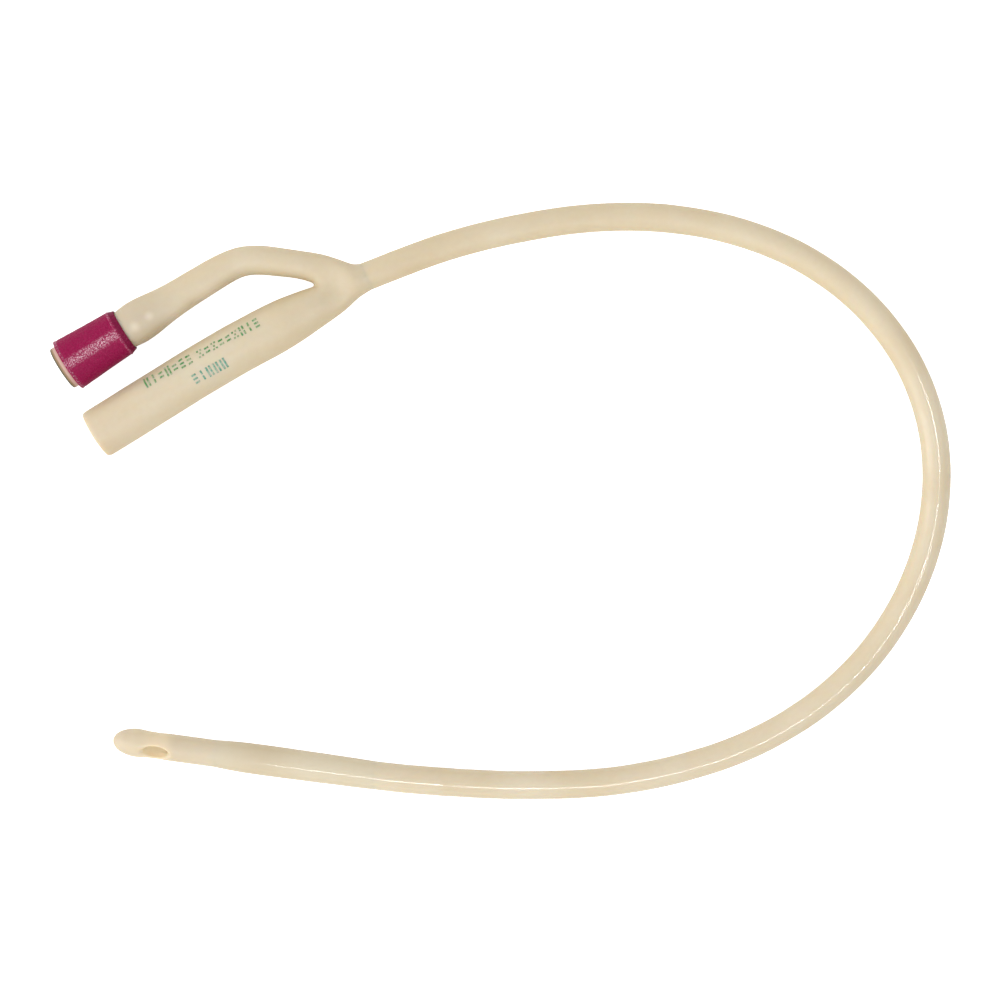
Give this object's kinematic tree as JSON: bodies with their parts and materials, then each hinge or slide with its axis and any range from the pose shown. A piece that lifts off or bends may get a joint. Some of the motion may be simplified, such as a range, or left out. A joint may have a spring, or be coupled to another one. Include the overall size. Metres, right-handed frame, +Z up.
{
  "type": "foley urinary catheter",
  "caption": "Flexible latex drainage catheter with a forked end, a colour band on its inflation valve, a deflated balloon and a rounded tip with side eyes, lying in an open loop.",
  "frame": {"origin": "on the table, under the middle of the box round the funnel body and its valve, without the shaft, balloon and tip", "axes": "+X along the drainage funnel from its mouth towards the shaft, +Y from the funnel towards the inflation arm, +Z up from the table"},
  "size_m": [0.1896, 0.1547, 0.0116],
  "materials": {
    "funnel_latex": "smooth cream natural latex with a soft silicone sheen",
    "shaft_latex": "smooth cream natural latex with a soft silicone sheen",
    "tip_latex": "smooth cream natural latex",
    "balloon_latex": "thin stretched cream latex, slightly glossy",
    "band_red": "crimson coated rubber, finely crinkled gloss",
    "plug_rubber": "matt brown moulded rubber"
  },
  "bodies": {
    "root": {"funnel_body": "funnel_latex", "shaft": "shaft_latex", "tip": "tip_latex", "balloon": "balloon_latex", "colour_band": "band_red", "valve_plug": "plug_rubber"}
  },
  "joints": []
}
